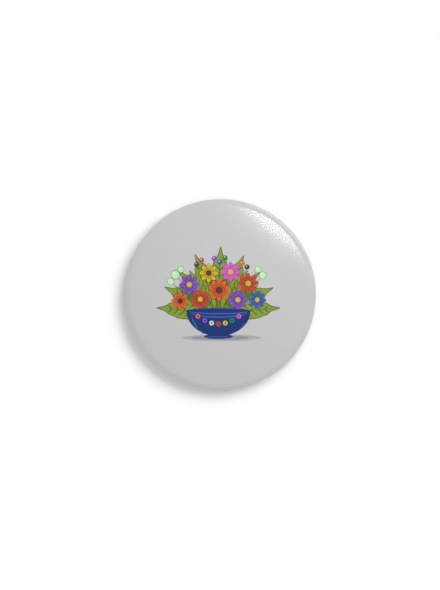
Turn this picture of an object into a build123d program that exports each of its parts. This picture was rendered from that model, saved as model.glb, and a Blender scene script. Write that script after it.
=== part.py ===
"""Button badge, worn upright: its printed face looks along -Y, its top is +Z, its pin is behind it at +Y.

A pressed steel shell carries a printed paper disc and a clear film. Both wrap round the shell's rolled
rim and tuck up inside it, where the skirt of the steel back plate traps them. A bar pin is riveted to the
back plate: its needle turns on a hinge rivet, and its tip lies in a catch that a turning lock closes.

The origin is on the badge's axis, in the plane of the rim's rearmost line, where the badge meets the cloth.
Sizes are in millimetres. A height is measured from that plane towards the front, so it lies at y = -height.
"""

from build123d import *
from math import asin, cos, degrees, hypot, radians, sin, sqrt
import os

# --- the body ---
badge_diameter = 58.0  # over the film
dome_radius = 130.0  # of the film's face
shoulder_radius = 2.5  # where the face turns into the side
side_height = 1.2  # the straight part of the side
roll_angle = 60.0  # of the rim's inward roll
film_thickness = 0.10
paper_thickness = 0.15
shell_thickness = 0.30
film_gap = 0.05  # between the paper and the film
paper_gap = 0.02  # between the shell and the paper
tuck_margin = 0.2  # how far film and paper, tucked up inside, end short of the shoulder

# --- the back plate ---
plate_thickness = 0.30
plate_clearance = 0.03  # between the plate's skirt and the tucked film
plate_bend = 0.25  # inside the bend between skirt and foot
skirt_overlap = 0.5  # how far the skirt stands up past the tucked film
foot_width = 0.6  # flat ring beside the skirt
panel_depth = 2.0  # from the rim's rear plane to the panel's face
step_radius = 0.6
step_angle = 60.0
bead_radius = 0.8  # of each bend of the stiffening bead
bead_angle = 40.0
bead_margin = 2.0  # between the panel's edge and the bead

# --- the bar pin ---
bar_width = 5.0
bar_thickness = 0.6  # of the strip that makes the bar, the ears and the catch
bar_bend = 0.3  # inside the folds of the strip
edge_rounding = 0.12  # of the free edges of the bar, the barrel and the lock
bar_rise = 6.5  # of the bar's middle above the badge's middle
bar_margin = 3.2  # between the bar's ends and the bead
end_margin = 0.1  # between the bar's round ends and what is folded up from it
rivet_margin = 2.5  # between a rivet's head and the ears or the lock beside it
rivet_diameter = 2.0
rivet_clearance = 0.02
rivet_head_diameter = 3.4
rivet_head_height = 0.55
rivet_tail_diameter = 3.0
rivet_tail_height = 0.4

# --- the needle and its hinge ---
needle_diameter = 0.9
tip_diameter = 0.08
point_length = 3.0
needle_overrun = 0.2  # of the needle's tip past the catch's outer end
barrel_diameter = 2.5
barrel_clearance = 0.05  # at each end of the needle's barrel, and round its rivet
ear_radius = 1.7
hinge_pin_diameter = 1.2
hinge_head_diameter = 2.2
hinge_head_height = 0.4

# --- the catch and its lock ---
catch_length = 4.0
lock_wall = 0.35
lock_clearance = 0.05  # round the lock, at its flanges, and between them and the bar
slot_clearance = 0.35  # on each side of the needle as it leaves the catch
flange_thickness = 0.5  # of the lock's flanges and its lever
flange_height = 0.3
lever_length = 2.45  # from the flange's edge to the lever's end
lever_width = 1.8
lever_rest_angle = 75.0  # from the slot, upwards

cut_margin = 1.0  # how far a cutting shape runs past what it cuts

# --- worked out: the body ---
outer_radius = badge_diameter / 2
paper_depth = film_thickness + film_gap
shell_depth = paper_depth + paper_thickness + paper_gap
hem_radius = shell_depth + shell_thickness / 2
fold_radius = plate_bend + plate_thickness
roll_radius = fold_radius + plate_clearance + 2 * hem_radius
roll_height = (roll_radius - hem_radius) * sin(radians(roll_angle)) + hem_radius
shoulder_height = roll_height + side_height
dome_angle = degrees(asin((outer_radius - shoulder_radius) / (dome_radius - shoulder_radius)))
face_height = shoulder_height + dome_radius - (dome_radius - shoulder_radius) * cos(radians(dome_angle))
tuck_length = side_height - tuck_margin

# --- worked out: the back plate ---
skirt_radius = outer_radius - 2 * hem_radius - plate_clearance
skirt_height = tuck_length + skirt_overlap
step_depth = panel_depth - (roll_height - fold_radius)
step_slope = (step_depth - 2 * step_radius * (1 - cos(radians(step_angle)))) / sin(radians(step_angle))
step_width = 2 * step_radius * sin(radians(step_angle)) + step_slope * cos(radians(step_angle))
panel_radius = skirt_radius - fold_radius - foot_width - step_width
bead_width = 4 * bead_radius * sin(radians(bead_angle))
bead_inner_radius = panel_radius - bead_margin - bead_width

# --- worked out: the bar pin, with y behind the rim's rear plane ---
bar_end_radius = bar_width / 2
bar_end_x = sqrt((bead_inner_radius - bar_margin - bar_end_radius) ** 2 - bar_rise**2)
bar_length = 2 * (bar_end_x + bar_end_radius)
bar_base = -panel_depth
bar_top = bar_base + bar_thickness
ear_gap = bar_width - 2 * bar_thickness
catch_bore_radius = ear_gap / 2
lock_radius = catch_bore_radius - lock_clearance
lock_bore_radius = lock_radius - lock_wall
flange_radius = lock_radius + flange_height
axis_y = bar_top + lock_clearance + flange_radius
hinge_x = -(bar_end_x - end_margin - ear_radius)
catch_end = bar_end_x - end_margin
catch_start = catch_end - catch_length
lock_start = catch_start - lock_clearance - flange_thickness
lock_end = catch_end + lock_clearance + flange_thickness
needle_tip = catch_end + needle_overrun
slot_width = needle_diameter + 2 * slot_clearance
rivet_inset = rivet_margin + rivet_head_diameter / 2
rivet_places = (hinge_x + ear_radius + rivet_inset, lock_start - rivet_inset)

# A section of the body is drawn with x as the radius and y as the height, then turned round the badge's axis.
BODY_SECTION = Plane(origin=(0, 0, 0), x_dir=(1, 0, 0), z_dir=(0, 0, -1))

# A section square to the bar is drawn with x along the badge's Y and y along its Z, then extruded along +X.
BAR_SECTION = Plane(origin=(0, 0, 0), x_dir=(0, 1, 0), z_dir=(1, 0, 0))


def walk(start, heading, moves, inset):
    """The edges of a path of straight runs and arcs, drawn inset to the right of the one that moves gives.

    A move is a length, or (radius, angle) with a positive angle for a turn to the left.
    """
    place = start + Vector(heading.Y, -heading.X) * inset
    edges = []
    for move in moves:
        if isinstance(move, tuple):
            radius, angle = move
            edge = JernArc(place, heading, radius + (inset if angle > 0 else -inset), angle)
            heading = heading.rotate(Axis.Z, angle)
        else:
            edge = Line(place, place + heading * move)
        place = edge @ 1
        edges.append(edge)
    return edges


def pressed_sheet(start, heading, moves, thickness):
    """A round sheet whose section lies to the right of a path."""
    outside = walk(start, heading, moves, 0)
    inside = walk(start, heading, moves, thickness)
    ends = [Line(outside[-1] @ 1, inside[-1] @ 1), Line(outside[0] @ 0, inside[0] @ 0)]
    return revolve(BODY_SECTION * make_face([*outside, *inside, *ends]), axis=Axis.Y)


def body_layer(depth, thickness, moves_inside=()):
    """A layer of the body, depth below the film's face, from its middle out over the rim."""
    moves = [
        (dome_radius - depth, -dome_angle),
        (shoulder_radius - depth, dome_angle - 90),
        side_height,
        (roll_radius - depth, -roll_angle),
        *moves_inside,
    ]
    return pressed_sheet(Vector(0, face_height - depth), Vector(1, 0), moves, thickness)


def hemmed_layer(depth, thickness):
    """A layer that turns round the shell's edge and tucks up inside the side."""
    hem = (hem_radius - depth, -180)
    back_up_the_roll = (roll_radius - 2 * hem_radius + depth, roll_angle)
    return body_layer(depth, thickness, (hem, back_up_the_roll, tuck_length))


def back_plate():
    """Pressed steel disc: a skirt inside the rim, a foot ring, a step down to the panel and a bead on it."""
    moves = [
        skirt_height,
        (fold_radius, -90),
        foot_width,
        (step_radius, -step_angle),
        step_slope,
        (step_radius, step_angle),
        bead_margin,
        (bead_radius, bead_angle),
        (bead_radius, -2 * bead_angle),
        (bead_radius, bead_angle),
        bead_inner_radius,
    ]
    start = Vector(skirt_radius, roll_height + skirt_height)
    plate = pressed_sheet(start, Vector(0, -1), moves, plate_thickness)
    return plate - rivet_holes(bar_base - plate_thickness, bar_base)


def along_x(radius, x_from, x_to):
    """A cylinder on the needle's line."""
    return Pos((x_from + x_to) / 2, axis_y, bar_rise) * Rot(0, 90, 0) * Cylinder(radius, x_to - x_from)


def along_y(x, radius, y_from, y_to):
    """A cylinder square to the bar, on its middle line."""
    return Pos(x, (y_from + y_to) / 2, bar_rise) * Rot(90, 0, 0) * Cylinder(radius, y_to - y_from)


def along_z(radius, length):
    """A cylinder on the hinge's axis."""
    return Pos(hinge_x, axis_y, bar_rise) * Cylinder(radius, length)


def round_edged(cylinder):
    """The cylinder with the edges of both its ends rounded."""
    return fillet(cylinder.edges().filter_by(GeomType.CIRCLE), edge_rounding)


def domed_head(diameter, height):
    """A rivet's head standing up along Z, cut from the sphere through its rim and its top."""
    radius = diameter / 2
    sphere_radius = (radius**2 + height**2) / (2 * height)
    sphere = Pos(0, 0, height - sphere_radius) * Sphere(sphere_radius)
    return sphere & Pos(0, 0, height / 2) * Cylinder(radius, height)


def rivet_holes(y_from, y_to):
    radius = rivet_diameter / 2 + rivet_clearance
    return [along_y(x, radius, y_from - cut_margin, y_to + cut_margin) for x in rivet_places]


def behind_needle(x_from, x_to, width):
    """A block on the cloth's side of the needle's line."""
    block = Box(x_to - x_from, bar_width, width)
    return Pos((x_from + x_to) / 2, axis_y + bar_width / 2, bar_rise) * block


def slot(x_from, x_to):
    """The way out of the catch for the needle, away from the badge."""
    return behind_needle(x_from - cut_margin, x_to + cut_margin, slot_width)


def folded_strip(x_from, x_to):
    """The bar's strip between two places, folded up at both edges as far as the needle's line."""
    outside = Pos((bar_base + axis_y) / 2, 0) * Rectangle(axis_y - bar_base, bar_width)
    outside = fillet(outside.vertices().group_by(Axis.X)[0], bar_bend + bar_thickness)
    inside = Pos((bar_top + axis_y) / 2, 0) * Rectangle(axis_y - bar_top, ear_gap)
    inside = fillet(inside.vertices().group_by(Axis.X)[0], bar_bend)
    return Pos(x_from, 0, bar_rise) * extrude(BAR_SECTION * (outside - inside), x_to - x_from)


def pin_bar():
    """One strip: the flat bar, and folded up from it the two ears of the hinge and the tube of the catch."""
    flat = extrude(Plane.XZ * Pos(0, bar_rise) * SlotOverall(bar_length, bar_width), bar_thickness)
    bar = Pos(0, bar_top, 0) * flat
    bar = fillet(bar.faces().sort_by(Axis.Y)[-1].edges(), edge_rounding)
    for x_from, x_to in ((hinge_x - ear_radius, hinge_x + ear_radius), (catch_start, catch_end)):
        flat_there = Box(x_to - x_from, 2 * bar_thickness, bar_width)
        bar -= Pos((x_from + x_to) / 2, bar_base, bar_rise) * flat_there
        bar += folded_strip(x_from, x_to)

    bar += along_z(ear_radius, bar_width) - along_z(ear_radius, ear_gap)
    bar -= along_z(hinge_pin_diameter / 2 + rivet_clearance, bar_width)

    tube = along_x(bar_width / 2, catch_start, catch_end)
    bar += tube & behind_needle(catch_start, catch_end, bar_width)
    bar -= along_x(catch_bore_radius, catch_start, catch_end)
    bar -= slot(catch_start, catch_end)
    lips = bar.edges().filter_by(Axis.X).group_by(Axis.Y)[-1]
    return fillet(lips, edge_rounding) - rivet_holes(bar_base, bar_top)


def bar_rivet(x):
    """Rivet that holds the bar to the back plate: a domed head on the bar, a flat tail inside the badge."""
    tail_top = bar_base - plate_thickness
    rivet = along_y(x, rivet_diameter / 2, tail_top - rivet_tail_height, bar_top)
    rivet += along_y(x, rivet_tail_diameter / 2, tail_top - rivet_tail_height, tail_top)
    head = domed_head(rivet_head_diameter, rivet_head_height)
    return rivet + Pos(x, bar_top, bar_rise) * Rot(-90, 0, 0) * head


def hinge_rivet():
    """Rivet through both ears and the needle's barrel, with a domed head at each end."""
    rivet = along_z(hinge_pin_diameter / 2, bar_width)
    for side, turn in ((1, 0), (-1, 180)):
        seat = Pos(hinge_x, axis_y, bar_rise + side * bar_width / 2) * Rot(turn, 0, 0)
        rivet += seat * domed_head(hinge_head_diameter, hinge_head_height)
    return rivet


def needle():
    """Straight wire with a ground point, fixed in a barrel that turns on the hinge rivet."""
    point_start = needle_tip - point_length
    wire = along_x(needle_diameter / 2, hinge_x, point_start)
    point = Cone(needle_diameter / 2, tip_diameter / 2, point_length)
    point = Pos((point_start + needle_tip) / 2, axis_y, bar_rise) * Rot(0, 90, 0) * point
    barrel = round_edged(along_z(barrel_diameter / 2, ear_gap - 2 * barrel_clearance))
    return barrel + wire + point - along_z(hinge_pin_diameter / 2 + barrel_clearance, bar_width)


def lever():
    """Round-ended finger lever standing on the lock's outer flange."""
    reach = flange_radius + lever_length
    outline = SlotOverall(2 * reach, lever_width) & Pos(reach / 2, 0) * Rectangle(reach, lever_width)
    shape = extrude(BAR_SECTION * outline, flange_thickness)
    shape = fillet(shape.faces().filter_by(Axis.X).edges(), edge_rounding)
    return Pos(lock_end - flange_thickness, axis_y, bar_rise) * Rot(lever_rest_angle, 0, 0) * shape


def catch_lock():
    """Slotted sleeve that turns in the catch, kept by a flange at each end, with a lever on the outer one."""
    lock = along_x(lock_radius, lock_start, lock_end) + lever()
    for start in (lock_start, lock_end - flange_thickness):
        lock += round_edged(along_x(flange_radius, start, start + flange_thickness))
    return lock - along_x(lock_bore_radius, lock_start, lock_end) - slot(lock_start, lock_end)


PIECES = {
    "clear_film": hemmed_layer(0, film_thickness),
    "printed_disc": hemmed_layer(paper_depth, paper_thickness),
    "front_shell": body_layer(shell_depth, shell_thickness),
    "back_plate": back_plate(),
    "pin_bar": pin_bar(),
    "bar_rivet_by_hinge": bar_rivet(rivet_places[0]),
    "bar_rivet_by_catch": bar_rivet(rivet_places[1]),
    "hinge_rivet": hinge_rivet(),
    "needle": needle(),
    "catch_lock": catch_lock(),
}

os.makedirs("parts", exist_ok=True)
for name, piece in PIECES.items():
    export_step(piece, f"parts/{name}.step")
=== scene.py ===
# %% [markdown]
# # A button badge
# A button badge is a small pressed sandwich. A domed steel shell carries a printed paper disc, a clear
# polyester film covers the print, and both are wrapped round the shell's rim and trapped there by the back
# plate. A bar pin with a turning lock is riveted to the back. The solids come ready from the CAD model.
# This lesson adds what they lack: the glossy film, the print, the bare metals, and the studio.

# %% Load the solids
import math

import bpy
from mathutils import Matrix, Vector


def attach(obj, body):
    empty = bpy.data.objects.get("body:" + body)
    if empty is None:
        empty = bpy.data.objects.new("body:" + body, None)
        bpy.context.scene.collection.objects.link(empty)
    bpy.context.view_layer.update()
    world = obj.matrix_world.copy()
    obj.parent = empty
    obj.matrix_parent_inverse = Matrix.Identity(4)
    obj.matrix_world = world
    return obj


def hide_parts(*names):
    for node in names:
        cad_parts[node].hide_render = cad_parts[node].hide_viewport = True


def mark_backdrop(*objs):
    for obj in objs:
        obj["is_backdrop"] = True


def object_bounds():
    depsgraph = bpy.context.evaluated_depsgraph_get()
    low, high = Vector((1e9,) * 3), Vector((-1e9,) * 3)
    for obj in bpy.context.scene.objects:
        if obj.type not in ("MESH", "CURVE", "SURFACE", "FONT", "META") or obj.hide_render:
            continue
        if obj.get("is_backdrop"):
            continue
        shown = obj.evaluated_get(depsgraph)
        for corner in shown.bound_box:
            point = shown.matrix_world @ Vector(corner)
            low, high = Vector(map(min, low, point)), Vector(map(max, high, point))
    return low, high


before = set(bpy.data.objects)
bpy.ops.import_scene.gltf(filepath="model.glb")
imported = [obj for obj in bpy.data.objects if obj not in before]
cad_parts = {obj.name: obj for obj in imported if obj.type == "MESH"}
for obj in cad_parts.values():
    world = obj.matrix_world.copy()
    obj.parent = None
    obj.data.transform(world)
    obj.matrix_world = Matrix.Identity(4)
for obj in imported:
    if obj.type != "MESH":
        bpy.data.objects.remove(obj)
cad_box = [list(corner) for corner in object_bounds()]

mm = 0.001
print("CAD nodes:", sorted(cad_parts))

# %% [markdown]
# ## Camera
# The badge is seen straight from the front, as it would lie under a copy stand. A long lens from half a metre
# keeps the round rim round and shows almost nothing of its side, which a wide lens up close would not.

# %% Camera
camera_distance = 498.7 * mm
framing_offset = -0.08 * mm  # the badge sits a hair right of and above the middle of the view
lens_length, sensor_size = 100, 36  # in mm

bpy.ops.object.camera_add(
    location=(framing_offset, -camera_distance, framing_offset), rotation=(math.pi / 2, 0, 0)
)
camera = bpy.context.object
camera.data.lens = lens_length
camera.data.sensor_width = sensor_size
bpy.context.scene.camera = camera
bpy.context.scene.view_settings.view_transform = "Standard"
print("the view is", round(sensor_size / lens_length * camera_distance / mm), "mm high")

# %% [markdown]
# ## Helpers for node trees
# Every finish below is a small tree of shader nodes. The first helper adds a node, sets its values by name
# and joins its inputs, so that each finish reads like a recipe. The others are the nodes that come up most: an
# operation on two values, and a change from one level to another, straight or eased at both ends.

# %% Helpers: nodes
def node(tree, kind, settings=None, **inputs):
    """Adds a shader node. Settings are its own properties, inputs are values or the outputs that feed it."""
    new = tree.nodes.new("ShaderNode" + kind)
    for key, value in (settings or {}).items():
        setattr(new, key, value)
    for key, value in inputs.items():
        socket = new.inputs[int(key[1:])] if key[0] == "_" else new.inputs[key.replace("_", " ")]
        if isinstance(value, bpy.types.NodeSocket):
            tree.links.new(value, socket)
        else:
            socket.default_value = value
    return new


def maths(tree, operation, first, second=0.0, clamp=False):
    """One operation on two values, or on the first alone. Clamp keeps the result between 0 and 1."""
    return node(tree, "Math", {"operation": operation, "use_clamp": clamp}, _0=first, _1=second).outputs[0]


def ramp(tree, value, start, end, low, high, way="LINEAR"):
    """Goes from low to high as value goes from start to end, and stays level outside."""
    settings = {"interpolation_type": way}
    return node(tree, "MapRange", settings, Value=value, _1=start, _2=end, _3=low, _4=high).outputs[0]


def ease(tree, value, start, end, low, high):
    """A ramp that starts and ends softly."""
    return ramp(tree, value, start, end, low, high, "SMOOTHSTEP")


# %% [markdown]
# ## Studio lights
# There are four lamps. The key softbox stands up and to the right, and its picture in the film is the bright
# crescent inside the rim. A second softbox on that side lights nothing but the card behind the badge, so the
# soft shadow at the lower left can be shaped without touching the gloss. A strip behind the badge lights
# nothing but the film and draws the thin line of light along the rim. The last softbox lights the pin side,
# for whoever turns the badge over, and is kept off film and paper, whose edge would glow. A studio keeps
# light off a thing with black flags. Here light linking does it.

# %% Helper: softbox
from mathutils import Matrix, Vector


def direction(tilt, side):
    """The way to a place tilt degrees off the camera's line, side degrees round it from the right."""
    tilt, side = math.radians(tilt), math.radians(side)
    return Vector((math.sin(tilt) * math.cos(side), -math.cos(tilt), math.sin(tilt) * math.sin(side)))


def softbox(name, tilt, side, distance, along, across, radiance):
    """A rectangular lamp that faces the badge; along and across are its angles as seen from there."""
    bpy.ops.object.light_add(type="AREA", location=distance * direction(tilt, side))
    lamp = bpy.context.object
    lamp.name = name
    lamp.data.shape = "RECTANGLE"
    lamp.data.size = 2 * distance * math.tan(math.radians(along / 2))
    lamp.data.size_y = 2 * distance * math.tan(math.radians(across / 2))
    lamp.data.energy = radiance * math.pi * lamp.data.size * lamp.data.size_y
    lamp.visible_camera = False
    out = direction(tilt, side)
    tangent = Vector((-math.sin(math.radians(side)), 0, math.cos(math.radians(side))))
    lamp.rotation_euler = Matrix((tangent, out.cross(tangent), out)).transposed().to_euler()
    print(name, round(lamp.data.size / mm), "by", round(lamp.data.size_y / mm), "mm")
    return lamp


# %% Softboxes
stand, near_stand = 600 * mm, 500 * mm  # how far from the badge the lamps stand

key_box = softbox("key_softbox", tilt=31, side=52, distance=stand, along=50, across=21, radiance=11.6)
card_box = softbox("card_softbox", tilt=43, side=45, distance=stand, along=43, across=27, radiance=9.3)
rim_strip = softbox("rim_strip", tilt=103, side=50, distance=near_stand, along=44, across=24, radiance=2.2)
pin_box = softbox("pin_softbox", tilt=150, side=130, distance=stand, along=40, across=30, radiance=4.0)


# %% Helper: flag a lamp
def flag(lamp, rule, pieces):
    """Makes the lamp light only these pieces (INCLUDE), or all but these (EXCLUDE)."""
    listed = bpy.data.collections.new(lamp.name + "_flag")
    for piece in pieces:
        listed.objects.link(piece)
    for entry in listed.collection_objects:
        entry.light_linking.link_state = rule
    lamp.light_linking.receiver_collection = listed
    print(lamp.name, rule.lower() + "s", [piece.name for piece in pieces])


no_pin_light = ("clear_film", "printed_disc")
flag(pin_box, "INCLUDE", [solid for name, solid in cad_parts.items() if name not in no_pin_light])

# %% [markdown]
# ## The key softbox's cloth
# A diffuser cloth hangs over the inner edge of the key softbox, so the crescent starts faint and then jumps
# to full strength. Towards both ends bare part and cloth fade out, the cloth further out than the bare part,
# which lets the crescent taper. Places on the box are shares of its length and of its width.

# %% The key softbox's cloth
fade_start, bare_end, cloth_end = 0.037, 0.39, 0.455  # along the box, from its middle
bare_edge, cloth_edge, box_edge = (0.70, 0.72), 0.73, 1.0  # across the box
cloth_strength, cloth_falloff = 0.3, 1.8

key_box.data.use_nodes = True
tree = key_box.data.node_tree
over_box = node(tree, "SeparateXYZ", _0=node(tree, "NewGeometry").outputs["Parametric"]).outputs
sideways = maths(tree, "ABSOLUTE", maths(tree, "SUBTRACT", over_box[0], 0.5))
bare = maths(tree, "MULTIPLY", ease(tree, sideways, fade_start, bare_end, 1.0, 0.0),
             ease(tree, over_box[1], *bare_edge, 1.0, 0.0))
cloth = maths(tree, "POWER", ramp(tree, over_box[1], cloth_edge, box_edge, 1.0, 0.0), cloth_falloff)
cloth = maths(tree, "MULTIPLY", ease(tree, sideways, fade_start, cloth_end, 1.0, 0.0),
              maths(tree, "MULTIPLY", cloth, cloth_strength))
tree.links.new(maths(tree, "MAXIMUM", bare, cloth), tree.nodes["Emission"].inputs["Strength"])
print("bare over the first", bare_edge[1], "of the width, then cloth at", cloth_strength, "and less")

# %% [markdown]
# ## The room
# What the camera sees behind the badge is plain white. What shiny parts mirror is a room: pale behind the
# badge, a little darker at the lower left than at the upper right, dimmer again in the far corner straight
# behind, and dark on the side where the camera stands, which is what gives gloss its shape. Dull surfaces get
# an even fill light. The card behind the badge is solid for light that has already been scattered once, so
# nothing glows through it into the badge's shadow.

# %% The room
fill_front, fill_low, fill_high = 0.68, 1.12, 0.86
room_front, room_low, room_high, room_corner = 0.14, 0.56, 0.72, 0.42
to_upper_right = (0.62, 0, 0.78)
low_to_high = (-0.25, 0.45)  # where that change lies, by how far a ray leans to the upper right

# where the others lie, from -1 straight in front of the badge to 1 straight behind it
front_to_back, fill_to_back, back_to_corner = (-0.35, 0.35), (-0.6, 0.1), (0.45, 0.8)

world = bpy.data.worlds.new("studio")
bpy.context.scene.world = world
world.use_nodes = True
world.cycles.sampling_method = "NONE"
tree = world.node_tree
path = node(tree, "LightPath").outputs
way = node(tree, "TexCoord").outputs["Generated"]
parts = node(tree, "SeparateXYZ", _0=way).outputs
lean = node(tree, "VectorMath", {"operation": "DOT_PRODUCT"}, _0=way, _1=to_upper_right).outputs["Value"]

far = ease(tree, parts[1], *back_to_corner, room_high, room_corner)
walls = ease(tree, lean, *low_to_high, room_low, far)
behind = ease(tree, parts[1], *front_to_back, 0.0, 1.0)
mirrored = maths(tree, "ADD", maths(tree, "MULTIPLY", walls, behind),
                 maths(tree, "MULTIPLY", maths(tree, "SUBTRACT", 1.0, behind), room_front))
fill_around = ease(tree, lean, *low_to_high, fill_low, fill_high)
fill = ease(tree, parts[1], *fill_to_back, fill_front, fill_around)

seen = maths(tree, "MAXIMUM", path["Is Camera Ray"], path["Is Transmission Ray"])
even = maths(tree, "MULTIPLY", maths(tree, "SUBTRACT", 1.0, path["Is Glossy Ray"]), fill)
shiny = maths(tree, "MULTIPLY", path["Is Glossy Ray"], mirrored)
bounces = maths(tree, "ADD", path["Diffuse Depth"], path["Is Glossy Ray"])
scattered = maths(tree, "SUBTRACT", bounces, 1.0, clamp=True)
under_card = maths(tree, "MULTIPLY", scattered, maths(tree, "GREATER_THAN", parts[1], 0.0))
room = maths(tree, "MULTIPLY", maths(tree, "ADD", even, shiny), maths(tree, "SUBTRACT", 1.0, under_card))
tree.links.new(maths(tree, "MAXIMUM", seen, room), tree.nodes["Background"].inputs["Strength"])
tree.nodes["Background"].inputs["Color"].default_value = (1, 1, 1, 1)
print("mirrored: front", room_front, "lower left", room_low, "upper right", room_high)

# %% [markdown]
# ## Card and floor
# The badge sits on a round card, as a badge is shown for sale. The card lies close behind its rim and catches
# its shadow, and has a hole in the middle for the pin. Its shade is greyish, and a lamp of its own and a
# little glow bring it up to white, so that the shadow can be as deep as it should be. Card and floor are
# there only for a camera that looks at their front. From behind they are clear, so that the pin can be seen
# and lit. The white floor lies far below.

# %% Helper: white board
def white_board(name, shade, glow):
    """Card for a camera that looks at its front, with a little glow so that it stays white; else clear."""
    board = bpy.data.materials.new(name)
    board.use_nodes = True
    tree = board.node_tree
    tree.nodes.clear()
    back = node(tree, "NewGeometry").outputs["Backfacing"]
    camera_ray = node(tree, "LightPath").outputs["Is Camera Ray"]
    shown = maths(tree, "MULTIPLY", camera_ray, maths(tree, "SUBTRACT", 1.0, back))
    dull = node(tree, "BsdfDiffuse", Color=(shade, shade, shade, 1)).outputs[0]
    light = node(tree, "Emission", Color=(1, 1, 1, 1), Strength=glow).outputs[0]
    both = node(tree, "AddShader", _0=dull, _1=light).outputs[0]
    clear = node(tree, "BsdfTransparent").outputs[0]
    node(tree, "OutputMaterial", Surface=node(tree, "MixShader", Fac=shown, _1=clear, _2=both).outputs[0])
    return board


# %% Card and floor
card_gap = 0.3 * mm  # between the rim's back plane and the card
card_radius, hole_radius = 40 * mm, 26 * mm
floor_size, floor_drop = 4.0, 120 * mm

bpy.ops.mesh.primitive_circle_add(
    vertices=96, radius=card_radius, fill_type="NGON", location=(0, card_gap, 0), rotation=(math.pi / 2, 0, 0)
)
backdrop = bpy.context.object
backdrop.name = "backdrop"
bpy.ops.object.mode_set(mode="EDIT")
bpy.ops.mesh.select_mode(type="FACE")
bpy.ops.mesh.select_all(action="SELECT")
bpy.ops.mesh.inset(thickness=card_radius - hole_radius)
bpy.ops.mesh.delete(type="FACE")
bpy.ops.object.mode_set(mode="OBJECT")
backdrop.data.materials.append(white_board("white_card", shade=0.6, glow=0.205))

bpy.ops.mesh.primitive_plane_add(size=floor_size, location=(0, 0, -floor_drop))
floor = bpy.context.object
floor.name = "floor"
floor.data.materials.append(white_board("white_floor", shade=0.94, glow=0.32))

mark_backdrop(backdrop, floor)
flag(card_box, "INCLUDE", [backdrop])
flag(key_box, "EXCLUDE", [backdrop])
print("the card lies", card_gap / mm, "mm behind the rim")

# %% [markdown]
# ## The pressed profile
# Film and paper are pressed over the same shell, so their sections are the same walk from the middle of the
# face to the tucked edge: over the dome, round the shoulder, down the side, round the rolled rim, and up
# inside it. Only the depth below the film's face differs. A walk of straight runs and arcs gives both.

# %% Measures of the section
face_height = 7.8637 * mm  # of the dome's top above the rim's back plane
dome_radius, dome_angle = 130.0 * mm, 11.996
shoulder_radius = 2.5 * mm
side_height = 1.2 * mm
roll_radius, roll_angle = 1.52 * mm, 60
hem_radius = 0.47 * mm
tuck_length = 1.0 * mm
film_thickness = 0.10 * mm
paper_depth, paper_thickness = 0.15 * mm, 0.15 * mm


def section(depth):
    """The walk from the axis to the tucked edge, as (steps, run) or (steps, radius, turn in degrees)."""
    return (
        (30, dome_radius - depth, -dome_angle),
        (16, shoulder_radius - depth, dome_angle - 90),
        (2, side_height),
        (10, roll_radius - depth, -roll_angle),
        (14, hem_radius - depth, -180),
        (6, roll_radius - 2 * hem_radius + depth, roll_angle),
        (2, tuck_length),
    )


# %% Helper: strides
def strides(moves):
    """Cuts a walk into short straight strides, each (outwards, up)."""
    heading, found = 0.0, []
    for steps, size, *turn in moves:
        bend = math.radians(turn[0]) / steps if turn else 0.0
        stride = 2 * size * math.sin(abs(bend) / 2) if turn else size / steps
        for _ in range(steps):
            heading += bend / 2
            found.append((stride * math.cos(heading), stride * math.sin(heading)))
            heading += bend / 2
    return found


print("strides in the section:", len(strides(section(0))))

# %% [markdown]
# ## Spinning a sheet
# A point is pulled along the walk, one extrude per stride, and the line is spun round the axis. After the
# spin the seam and the pole are doubled, so they are merged and the normals are turned outwards. Solidify
# then gives the sheet its real thickness, inwards, and gives the inner skin the second material slot.

# %% Helper: spun sheet
spin_steps = 192
merge_distance = 0.001 * mm
crease_angle = math.radians(40)  # a sharper edge than this stays sharp when shaded


def deselect_all():
    """Leaves edit mode if need be, and selects nothing."""
    if bpy.context.object and bpy.context.object.mode != "OBJECT":
        bpy.ops.object.mode_set(mode="OBJECT")
    bpy.ops.object.select_all(action="DESELECT")


def spun_sheet(name, depth, thickness, skins):
    """A sheet that follows the section at this depth; skins are its outer and, if given, inner material."""
    deselect_all()
    bpy.ops.mesh.primitive_plane_add(size=mm, location=(0, 0, 0))
    sheet = bpy.context.object
    sheet.name = name
    for skin in skins:
        sheet.data.materials.append(skin)
    bpy.ops.object.mode_set(mode="EDIT")
    bpy.ops.mesh.select_mode(type="VERT")
    bpy.ops.mesh.select_all(action="SELECT")
    bpy.ops.mesh.merge(type="CENTER")
    bpy.ops.transform.translate(value=(0, depth - face_height, 0))
    for out_by, up_by in strides(section(depth)):
        bpy.ops.mesh.extrude_region_move(TRANSFORM_OT_translate={"value": (out_by, -up_by, 0)})
    bpy.ops.mesh.select_all(action="SELECT")
    bpy.ops.mesh.spin(steps=spin_steps, angle=2 * math.pi, center=(0, 0, 0), axis=(0, 1, 0))
    bpy.ops.mesh.select_all(action="SELECT")
    bpy.ops.mesh.remove_doubles(threshold=merge_distance)
    bpy.ops.mesh.normals_make_consistent(inside=False)
    bpy.ops.object.mode_set(mode="OBJECT")
    bpy.ops.object.modifier_add(type="SOLIDIFY")
    wall = sheet.modifiers[-1]
    wall.thickness, wall.offset = thickness, -1
    wall.material_offset = wall.material_offset_rim = len(skins) - 1
    bpy.ops.object.modifier_apply(modifier=wall.name)
    bpy.ops.object.shade_smooth_by_angle(angle=crease_angle)
    sheet.data.update()
    print(name, len(sheet.data.polygons), "faces, size in mm",
          [round(side / mm, 2) for side in sheet.dimensions])
    return sheet


# %% [markdown]
# ## Clear film
# The film is polyester, 0.1 mm thick. It is seen only by what it mirrors, so its outer skin mixes clear with
# gloss by Fresnel: little gloss face on, much at a grazing look round the rim. The gloss is softer than a
# mirror's, because the film takes up the paper's texture when it is pressed. Its roughness wanders a little
# where it has been handled, and a very shallow ripple keeps the crescent's edge from being ruled. The inner
# skin is clear.

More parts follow.
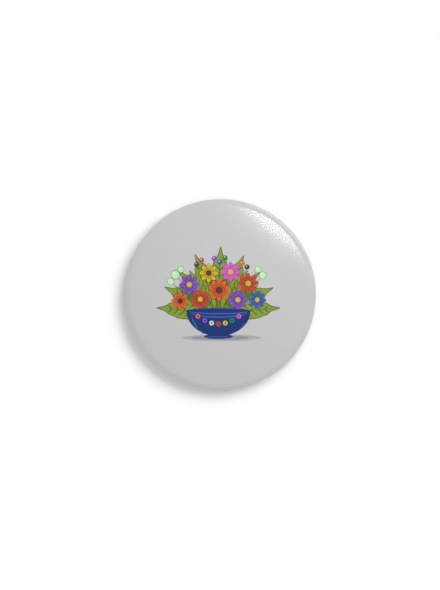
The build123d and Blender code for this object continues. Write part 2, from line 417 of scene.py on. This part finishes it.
# %% Finish: film
def empty_finish(name):
    """A new material with an empty tree, and the tree."""
    material = bpy.data.materials.new(name)
    material.use_nodes = True
    material.node_tree.nodes.clear()
    return material, material.node_tree


film_gloss, tree = empty_finish("film_gloss")
mirror_share = maths(
    tree, "MULTIPLY", node(tree, "Fresnel", IOR=1.43).outputs[0],
    maths(tree, "SUBTRACT", 1.0, node(tree, "NewGeometry").outputs["Backfacing"]),
)
place = node(tree, "TexCoord").outputs["Object"]
handling = node(tree, "TexNoise", Vector=place, Scale=420, Detail=4).outputs[0]
waves = node(tree, "TexNoise", Vector=place, Scale=260, Detail=1).outputs[0]
haze = ramp(tree, handling, 0.3, 0.7, 0.08, 0.13)
ripple = node(tree, "Bump", Strength=0.1, Distance=0.02 * mm, Height=waves).outputs[0]
gloss = node(tree, "BsdfAnisotropic", Color=(1, 1, 1, 1), Roughness=haze, Normal=ripple)
mixed = node(tree, "MixShader", Fac=mirror_share,
             _1=node(tree, "BsdfTransparent").outputs[0], _2=gloss.outputs[0])
node(tree, "OutputMaterial", Surface=mixed.outputs[0])

film_inside, tree = empty_finish("film_inside")
node(tree, "OutputMaterial", Surface=node(tree, "BsdfTransparent").outputs[0])
print("film finishes:", film_gloss.name, film_inside.name)

# %% The film
film = spun_sheet("clear_film_spun", 0.0, film_thickness, (film_gloss, film_inside))
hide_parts("clear_film")
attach(film, "badge")
flag(rim_strip, "INCLUDE", [film])

# %% [markdown]
# ## Printed paper
# The disc under the film is coated paper, printed all over with a pale grey ground. Coated paper is almost
# even: a faint cloudiness from the fibres and a fine grain from the printing dots keep it from looking like
# plastic. Both are noise on the paper's own coordinates, at the scale of real fibres and dots.

# %% Helper: principled finish
def finish(name, **values):
    """A new material with one Principled shader, and its tree."""
    material, tree = empty_finish(name)
    shader = node(tree, "BsdfPrincipled", **values)
    node(tree, "OutputMaterial", Surface=shader.outputs[0])
    return material, tree, shader


def linear(*rgb):
    """A colour as picked on a screen, 0 to 255, as the shader wants it."""
    return [((v / 255 + 0.055) / 1.055) ** 2.4 if v > 10 else v / 255 / 12.92 for v in rgb] + [1]


def noise(tree, scale, detail=2.0, stretch=(1, 1, 1)):
    """Noise on the piece's own coordinates, with so many lumps to the metre."""
    place = node(tree, "TexCoord").outputs["Object"]
    place = node(tree, "Mapping", Vector=place, Scale=stretch).outputs[0]
    return node(tree, "TexNoise", Vector=place, Scale=scale, Detail=detail).outputs[0]


def tinted(tree, colour, amount, share):
    """A colour that wanders by amount either way, as share goes from 0 to 1."""
    dark = [c * (1 - amount) for c in colour[:3]] + [1]
    light = [min(1, c * (1 + amount)) for c in colour[:3]] + [1]
    return node(tree, "Mix", {"data_type": "RGBA"}, _0=share, _6=dark, _7=light).outputs[2]


def mottle(tree, coarse, fine):
    """Two noises as one: six parts of the coarse one and four of the fine one."""
    return maths(tree, "ADD", maths(tree, "MULTIPLY", coarse, 0.6), maths(tree, "MULTIPLY", fine, 0.4))


# %% Finish: paper
paper_grey = linear(197, 197, 197)

coated_paper, tree, shader = finish("coated_paper", Roughness=0.6, Specular_IOR_Level=0.25)
fibres = noise(tree, 700, 3)
dots = noise(tree, 5000, 1)
tree.links.new(tinted(tree, paper_grey, 0.04, mottle(tree, fibres, dots)), shader.inputs["Base Color"])
relief = node(tree, "Bump", Strength=0.15, Distance=0.01 * mm, Height=dots)
tree.links.new(relief.outputs[0], shader.inputs["Normal"])
print(coated_paper.name, "is", [round(c, 3) for c in paper_grey[:3]])

# %% The paper disc
paper = spun_sheet("printed_disc_spun", paper_depth, paper_thickness, (coated_paper,))
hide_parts("printed_disc")
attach(paper, "badge")

# %% [markdown]
# ## Inks
# The picture is printed in flat colours. A print is never quite flat when looked at closely: each ink
# wanders a little in strength, with the same fine grain as the paper. One recipe makes them all.

# %% Inks
ink_colours = {
    "grass": (133, 157, 57),
    "olive": (92, 100, 24),
    "navy": (12, 50, 117),
    "blue": (58, 92, 180),
    "orange": (232, 98, 27),
    "purple": (142, 67, 200),
    "red": (209, 58, 42),
    "yellow": (217, 188, 20),
    "emerald": (26, 138, 26),
    "pink": (227, 84, 180),
    "brown": (90, 50, 40),
    "mint": (195, 229, 186),
    "cream": (240, 238, 222),
    "shade": (146, 145, 152),
    "haze": (172, 172, 176),
}


def ink(name, rgb):
    """A printing ink in this colour."""
    material, tree, shader = finish("ink_" + name, Roughness=0.5, Specular_IOR_Level=0.25)
    strength = mottle(tree, noise(tree, 450, 2), noise(tree, 5000, 1))
    tree.links.new(tinted(tree, linear(*rgb), 0.16, strength), shader.inputs["Base Color"])
    return material


inks = {name: ink(name, rgb) for name, rgb in ink_colours.items()}
print(len(inks), "inks")

# %% [markdown]
# ## Master shapes for the picture
# The picture is a blue bowl of flowers, and it is built from a few flat master shapes, each modelled once:
# a disc, a petal, a leaf, a stroke and a half disc. Each is about 1 mm wide. Its face is inset, so that the
# ring left outside can be an outline in a second ink. Copies are then placed, turned and sized like paper
# cut-outs, on numbered layers.

# %% Helpers: master shapes
sheet_front = -20 * mm  # where the flat picture is laid out, in front of the dome
cut_threshold = 0.0001 * mm  # points nearer than this to a cut count as on it


def select_only(*shapes):
    """Selects these shapes and nothing else, and makes the first one active."""
    deselect_all()
    for shape in shapes:
        shape.select_set(True)
    bpy.context.view_layer.objects.active = shapes[0]


def master(name, sides, width, height):
    """A flat oval of the given size in mm, facing the front, with two material slots."""
    deselect_all()
    bpy.ops.mesh.primitive_circle_add(
        vertices=sides, radius=0.5 * mm, fill_type="NGON", rotation=(math.pi / 2, 0, 0)
    )
    shape = bpy.context.object
    shape.name = "master_" + name
    bpy.ops.object.transform_apply(location=False, rotation=True, scale=False)
    shape.data.materials.append(None)
    shape.data.materials.append(None)
    bpy.ops.object.mode_set(mode="EDIT")
    bpy.ops.mesh.select_all(action="SELECT")
    bpy.ops.transform.resize(value=(width, 1, height))
    bpy.ops.object.mode_set(mode="OBJECT")
    return shape


def pull(shape, where, value=(0, 0, 0), resize=None):
    """Selects the points of a shape that where() picks, and resizes them or moves them by value in mm."""
    select_only(shape)
    bpy.ops.object.mode_set(mode="EDIT")
    bpy.ops.mesh.select_all(action="DESELECT")
    bpy.ops.object.mode_set(mode="OBJECT")
    for point in shape.data.vertices:
        point.select = where(point.co / mm)
    bpy.ops.object.mode_set(mode="EDIT")
    bpy.ops.mesh.select_mode(type="VERT")
    if resize:
        bpy.ops.transform.resize(value=resize)
    bpy.ops.transform.translate(value=[v * mm for v in value])
    bpy.ops.object.mode_set(mode="OBJECT")


def inset_outline(shape, width):
    """Insets the face by width in mm. The ring outside keeps the first slot, the middle gets the second."""
    select_only(shape)
    bpy.ops.object.mode_set(mode="EDIT")
    bpy.ops.mesh.select_mode(type="FACE")
    bpy.ops.mesh.select_all(action="SELECT")
    bpy.ops.mesh.inset(thickness=width * mm)
    shape.active_material_index = 1
    bpy.ops.object.material_slot_assign()
    bpy.ops.object.mode_set(mode="OBJECT")


# %% Master shapes
def everywhere(point):
    return True


disc = master("disc", 28, 1, 1)
inset_outline(disc, 0.05)

petal = master("petal", 24, 1, 0.52)
pull(petal, lambda p: p.x < -0.1, resize=(1, 1, 0.72))
pull(petal, everywhere, value=(0.5, 0, 0))
inset_outline(petal, 0.035)

leaf = master("leaf", 32, 1, 0.34)
pull(leaf, lambda p: p.x > 0.2, resize=(1, 1, 0.88))
pull(leaf, lambda p: p.x > 0.37, resize=(1, 1, 0.75))
pull(leaf, lambda p: p.x > 0.47, value=(0.05, 0, 0), resize=(1, 1, 0.45))
pull(leaf, lambda p: p.x > 0.54, value=(0.05, 0, 0))
pull(leaf, lambda p: p.x < -0.47, value=(-0.03, 0, 0), resize=(1, 1, 0.4))
pull(leaf, everywhere, value=(0.5, 0, 0))
inset_outline(leaf, 0.014)

stroke = master("stroke", 12, 1, 1)
pull(stroke, everywhere, value=(0.5, 0, 0))
inset_outline(stroke, 0.03)
print("master shapes:", [shape.name for shape in (disc, petal, leaf, stroke)])

# %% Helper: stamp
layers = {}  # the cut-outs on each layer, by its number
picture_scale = 0.91
picture_middle = (-0.54, -0.78)  # right and up of the badge's axis, in mm


def stamp(shape, spot, size, turn=0.0, layer=0, fill="grass", edge=None):
    """Places a copy of a master at spot (right, up) in mm, sized (long, wide) and turned in degrees."""
    select_only(shape)
    bpy.ops.object.duplicate()
    copy = bpy.context.object
    right, up = (picture_scale * at + shift for at, shift in zip(spot, picture_middle))
    copy.location = (right * mm, sheet_front, up * mm)
    copy.rotation_euler = (0, -math.radians(turn), 0)
    copy.scale = (picture_scale * size[0], 1, picture_scale * size[1])
    copy.data.materials[0] = inks[edge or fill]
    copy.data.materials[1] = inks[fill]
    layers.setdefault(layer, []).append(copy)


def polar(spot, distance, turn):
    """The spot that lies distance away from another, in the direction turn."""
    turn = math.radians(turn)
    return (spot[0] + distance * math.cos(turn), spot[1] + distance * math.sin(turn))


# %% [markdown]
# ## The bowl
# A half disc makes the bowl: a disc cut level with bisect, and stretched wide when it is stamped. A lighter
# blue oval marks the lip and a lighter band runs below it, three strokes of the same blue are highlights, and
# a row of round spots decorates the belly. Grey ovals beneath are its printed shadow.

# %% The bowl
bowl_top, bowl_width, bowl_depth = -4.6, 21.0, 8.2
bowl_foot = bowl_top - bowl_depth
highlights = (
    # spot, size, turn
    ((-8.9, -6.6), (4.4, 0.6), -62),
    ((-6.2, -10.9), (1.9, 0.45), -38),
    ((7.5, -10.0), (2.0, 0.3), 49),
)
belly = ("orange", "purple", "mint", "red", "yellow", "emerald", "pink")
belly_spacing, belly_curve = 2.25, 0.055

half = master("half", 64, 1, 1)
bpy.ops.object.mode_set(mode="EDIT")
bpy.ops.mesh.select_all(action="SELECT")
bpy.ops.mesh.bisect(plane_co=(0, 0, 0), plane_no=(0, 0, 1), clear_outer=True, threshold=cut_threshold)
bpy.ops.object.mode_set(mode="OBJECT")
inset_outline(half, 0.012)

stamp(disc, (1.0, bowl_foot - 0.55), (26, 2.2), layer=0, fill="haze")
stamp(disc, (0.6, bowl_foot - 0.5), (19, 1.4), layer=1, fill="shade")
stamp(disc, (0, bowl_foot - 0.1), (9.5, 1.6), layer=2, fill="navy")
stamp(stroke, (-3.9, bowl_foot - 0.2), (7.8, 0.28), layer=3, fill="blue")
stamp(half, (0, bowl_top), (bowl_width, 2 * bowl_depth), layer=2, fill="navy")
stamp(half, (0, bowl_top - 0.4), (bowl_width * 0.9, bowl_depth * 0.42), layer=3, fill="blue")
stamp(half, (0, bowl_top - 0.4), (bowl_width * 0.87, bowl_depth * 0.30), layer=4, fill="navy")
stamp(disc, (0, bowl_top), (bowl_width + 0.6, 2.3), layer=5, fill="blue", edge="navy")
stamp(disc, (0, bowl_top + 0.15), (bowl_width - 1.0, 1.4), layer=6, fill="navy")
for spot, size, turn in highlights:
    stamp(stroke, spot, size, turn, 5, "blue")
for i, colour in enumerate(belly):
    across = (i - len(belly) // 2) * belly_spacing
    up = bowl_top - 4.15 + belly_curve * across**2
    stamp(disc, (across, up), (1.75, 1.75), layer=5, fill=colour, edge="navy")
    stamp(disc, (across, up), (0.6, 0.6), layer=6, fill="navy")
print("cut-outs in the bowl:", sum(len(cuts) for cuts in layers.values()))

# %% [markdown]
# ## Leaves
# Each leaf is the leaf master with a dark rib and a few slanting dark stripes over it. They fan out from the
# bowl's lip, the long ones behind, as stems would push them.

# %% Leaves
root = (0, bowl_top - 0.3)
long_leaves = (  # turn, length
    (4, 17.5), (24, 17.0), (44, 16.0), (66, 17.5), (88, 18.6),
    (112, 17.6), (134, 16.2), (155, 16.8), (176, 17.6),
)
short_leaves = (  # turn, length, ink
    (14, 12.0, "grass"), (34, 12.5, "emerald"), (55, 13.5, "grass"),
    (125, 13.5, "grass"), (146, 12.5, "emerald"), (166, 12.0, "grass"),
)
stripe_places, stripe_slant = (0.16, 0.29, 0.42, 0.55, 0.68, 0.8), 44


def place_leaf(spot, length, turn, layer, fill="grass", dark="olive"):
    """A leaf that starts at the spot, with its rib and stripes on the next layer."""
    wide = length * 1.05
    stamp(leaf, spot, (length, wide), turn, layer, fill, dark)
    stamp(stroke, polar(spot, 0.04 * length, turn), (length * 0.9, 0.2), turn, layer + 1, dark)
    for share in stripe_places:
        reach = length * (0.2 - 0.26 * abs(share - 0.4))
        for side in (-1, 1):
            stamp(stroke, polar(spot, share * length, turn), (reach, 0.022 * length),
                  turn + side * stripe_slant, layer + 1, dark)


for turn, length in long_leaves:
    place_leaf(polar(root, 1.2, turn), length, turn, 0)
for turn, length, fill in short_leaves:
    place_leaf(polar(root, 2.0, turn), length, turn, 2, fill)
print("leaves:", len(long_leaves) + len(short_leaves))

# %% [markdown]
# ## Flowers
# A flower is a ring of petal copies round a spotted middle, like a daisy. Odd and even petals lie on two
# layers, so that neighbours overlap. Small round blossoms and berries fill the gaps.

# %% Flowers
def place_flower(spot, size, petals, fill, middle, layer, dark="navy", turn=0.0):
    """A daisy: size is its width in mm. The more petals it has, the narrower they are."""
    petal_size = (0.43 * size, 0.43 * size * 7 / petals * 1.25)
    vein_size = (0.22 * size, 0.035 * size)
    for i in range(petals):
        way_out = turn + 360 * i / petals
        stamp(petal, polar(spot, 0.08 * size, way_out), petal_size, way_out, layer + i % 2, fill, dark)
        stamp(stroke, polar(spot, 0.14 * size, way_out), vein_size, way_out, layer + 2, dark)
    stamp(disc, spot, (0.3 * size, 0.3 * size), 0, layer + 3, middle, dark)
    for i in range(6):
        stamp(disc, polar(spot, 0.085 * size, 60 * i), (0.035 * size, 0.035 * size), 0, layer + 4, "brown")


flowers = (
    # spot, width, petals, petal ink, middle ink, layer, outline ink
    ((-9.6, 4.2), 6.6, 8, "purple", "yellow", 4, "navy"),
    ((9.8, 4.6), 6.8, 8, "red", "yellow", 4, "brown"),
    ((-3.2, 8.0), 6.2, 8, "yellow", "brown", 4, "brown"),
    ((4.0, 8.4), 6.4, 8, "pink", "yellow", 4, "purple"),
    ((-12.6, -1.2), 5.8, 8, "orange", "brown", 4, "brown"),
    ((12.8, -0.8), 5.8, 8, "blue", "yellow", 4, "navy"),
    ((0.2, 2.4), 7.6, 10, "orange", "brown", 7, "brown"),
    ((-6.0, -0.6), 6.4, 8, "red", "yellow", 7, "brown"),
    ((6.4, -0.8), 6.4, 8, "purple", "yellow", 7, "navy"),
)
for spot, size, petals, fill, middle, layer, dark in flowers:
    place_flower(spot, size, petals, fill, middle, layer, dark, turn=7 * size)
print("flowers:", len(flowers))

# %% Blossoms and berries
blossoms = (  # spot, width
    ((-14.2, 7.4), 3.0), ((-15.8, 5.2), 2.4), ((-12.4, 9.2), 2.2), ((14.6, 7.2), 2.6), ((13.0, 9.2), 2.2),
)
berries = (  # spot, ink
    ((-7.2, 10.8), "brown"), ((-5.6, 12.2), "red"), ((7.8, 11.2), "orange"), ((9.4, 10.0), "brown"),
    ((0.4, 11.6), "blue"), ((-1.4, 12.8), "purple"), ((2.2, 13.0), "emerald"),
)


def place_stem(spot, layer, fill="olive"):
    """A thin stem from the bowl's lip to the spot."""
    foot = (0.25 * spot[0], root[1])
    across, up = spot[0] - foot[0], spot[1] - foot[1]
    stamp(stroke, foot, (math.hypot(across, up), 0.3), math.degrees(math.atan2(up, across)), layer, fill)


for spot, size in blossoms:
    place_stem(spot, 1)
    stamp(disc, spot, (size, size), 0, 2, "mint", "emerald")
    stamp(disc, polar(spot, 0.24 * size, 120), (0.22 * size, 0.22 * size), 0, 3, "cream")
for spot, colour in berries:
    place_stem(spot, 3)
    stamp(disc, spot, (1.7, 1.7), 0, 4, colour, "navy")
    stamp(disc, polar(spot, 0.35, 120), (0.35, 0.35), 0, 5, "cream")
print({layer: len(cuts) for layer, cuts in sorted(layers.items())}, "cut-outs on the layers")

# %% [markdown]
# ## Laying the picture on the dome
# The flat layers are cut into small squares, so that they can bend, and Shrinkwrap pushes them onto the
# paper. Each layer stands a few thousandths of a millimetre higher than the last, all of them under the film.
# The whole is then parted by ink, one piece for each colour, and Solidify gives the ink its thickness.

# %% Cut the layers into squares
grid, cuts_each_way = 0.75 * mm, 26

sheets = []
for layer, cuts in sorted(layers.items()):
    select_only(*cuts)
    bpy.ops.object.join()
    bpy.ops.object.transform_apply()
    sheets.append(bpy.context.object)

select_only(*sheets)
bpy.ops.object.mode_set(mode="EDIT")
for square_to in (Vector((1, 0, 0)), Vector((0, 0, 1))):
    for i in range(-cuts_each_way, cuts_each_way + 1):
        bpy.ops.mesh.select_all(action="SELECT")
        bpy.ops.mesh.bisect(plane_co=i * grid * square_to, plane_no=square_to, threshold=cut_threshold)
bpy.ops.object.mode_set(mode="OBJECT")
print("layers:", len(sheets), "with", sum(len(sheet.data.polygons) for sheet in sheets), "faces")

# %% Lay the picture on the dome
first_height, height_step = 0.007 * mm, 0.0025 * mm

for i, sheet in enumerate(sheets):
    select_only(sheet)
    bpy.ops.object.modifier_add(type="SHRINKWRAP")
    wrap = sheet.modifiers[-1]
    wrap.target, wrap.wrap_method = paper, "PROJECT"
    wrap.use_project_y, wrap.use_positive_direction = True, True
    wrap.offset = first_height + height_step * i
    bpy.ops.object.modifier_apply(modifier=wrap.name)
top_height = first_height + height_step * (len(sheets) - 1)
print("the ink's layers stand", round(first_height / mm, 4), "to", round(top_height / mm, 4), "mm up")

# %% Part the picture by ink
ink_thickness = 0.002 * mm

select_only(*sheets)
bpy.ops.object.join()
bpy.ops.object.mode_set(mode="EDIT")
bpy.ops.mesh.select_all(action="SELECT")
bpy.ops.mesh.separate(type="MATERIAL")
bpy.ops.object.mode_set(mode="OBJECT")
for shape in (disc, petal, leaf, stroke, half):
    bpy.data.objects.remove(shape)

for piece in list(bpy.context.selected_objects):
    select_only(piece)
    bpy.ops.object.modifier_add(type="SOLIDIFY")
    wall = piece.modifiers[-1]
    wall.thickness, wall.offset = ink_thickness, -1
    bpy.ops.object.modifier_apply(modifier=wall.name)
    bpy.ops.object.shade_smooth_by_angle(angle=crease_angle)
    piece.name = piece.data.materials[0].name.replace("ink_", "printed_")
    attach(piece, "badge")
    print(piece.name, len(piece.data.polygons), "faces")

# %% [markdown]
# ## Bare metals
# The shell and back plate are tinplate: steel rolled thin and dipped in tin, with fine rolling lines and the
# odd scratch. The bar and its lock are nickel plated, warmer and smoother. Rivets are dull where the punch
# hit them. The needle is drawn wire, so its lines run along it. Solids whose shape is right keep their own
# mesh, and only their material changes.

# %% Helper: metal
def metal(name, colour, roughness, spread, grain, stretch, relief, scratch=0.0):
    """A metal whose roughness wanders by spread, over grain lumps to the metre, stretched into lines."""
    material, tree, shader = finish(name, Metallic=1.0)
    lines = noise(tree, grain, 3, stretch)
    stains = noise(tree, 130, 4)
    level = ramp(tree, lines, 0.3, 0.7, roughness - spread, roughness + spread)
    clouds = maths(tree, "MULTIPLY", maths(tree, "SUBTRACT", stains, 0.5), spread)
    tree.links.new(maths(tree, "ADD", level, clouds), shader.inputs["Roughness"])
    tree.links.new(tinted(tree, colour, 0.05, stains), shader.inputs["Base Color"])
    height = lines
    if scratch:
        place = node(tree, "TexCoord").outputs["Object"]
        turned = node(tree, "Mapping", Vector=place, Rotation=(0, 0.6, 0), Scale=(1, 1, 0.04)).outputs[0]
        cells = node(tree, "TexVoronoi", {"feature": "DISTANCE_TO_EDGE"}, Vector=turned, Scale=260)
        height = maths(tree, "ADD", lines, ramp(tree, cells.outputs[0], 0.0, 0.02, -scratch, 0.0))
    bump = node(tree, "Bump", Strength=relief, Distance=0.01 * mm, Height=height)
    tree.links.new(bump.outputs[0], shader.inputs["Normal"])
    return material


# %% Finishes: metals
no_lines, rolled_lines, drawn_lines = (1, 1, 1), (0.015, 1, 1), (0.03, 1, 1)

# name, colour, roughness, spread, grain, stretch, relief
tinplate = metal("tinplate", linear(222, 222, 219), 0.24, 0.05, 5000, rolled_lines, 0.2, scratch=0.4)
nickel = metal("nickel_plate", linear(220, 218, 211), 0.2, 0.05, 1500, no_lines, 0.15)
rivet_steel = metal("rivet_steel", linear(196, 194, 190), 0.32, 0.08, 2500, no_lines, 0.4)
needle_steel = metal("needle_steel", linear(222, 223, 224), 0.14, 0.04, 4000, drawn_lines, 0.25)

# %% Metals on the solids
metal_of = {
    "front_shell": tinplate,
    "back_plate": tinplate,
    "pin_bar": nickel,
    "catch_lock": nickel,
    "bar_rivet_by_hinge": rivet_steel,
    "bar_rivet_by_catch": rivet_steel,
    "hinge_rivet": rivet_steel,
    "needle": needle_steel,
}
for name, material in metal_of.items():
    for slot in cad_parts[name].material_slots:
        slot.material = material
    print(name, "is", material.name)

# %% [markdown]
# ## Size of the dressed badge
# The dressed badge's box is set beside the solids' box, and how far each corner lies from the other is
# printed. The dressed badge has to stay within the solids' box.

# %% Finish
scene_box = [list(corner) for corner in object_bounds()]
grown = [[round((a - b) / mm, 3) for a, b in zip(*corners)] for corners in zip(scene_box, cad_box)]
print("grown by in mm:", grown)
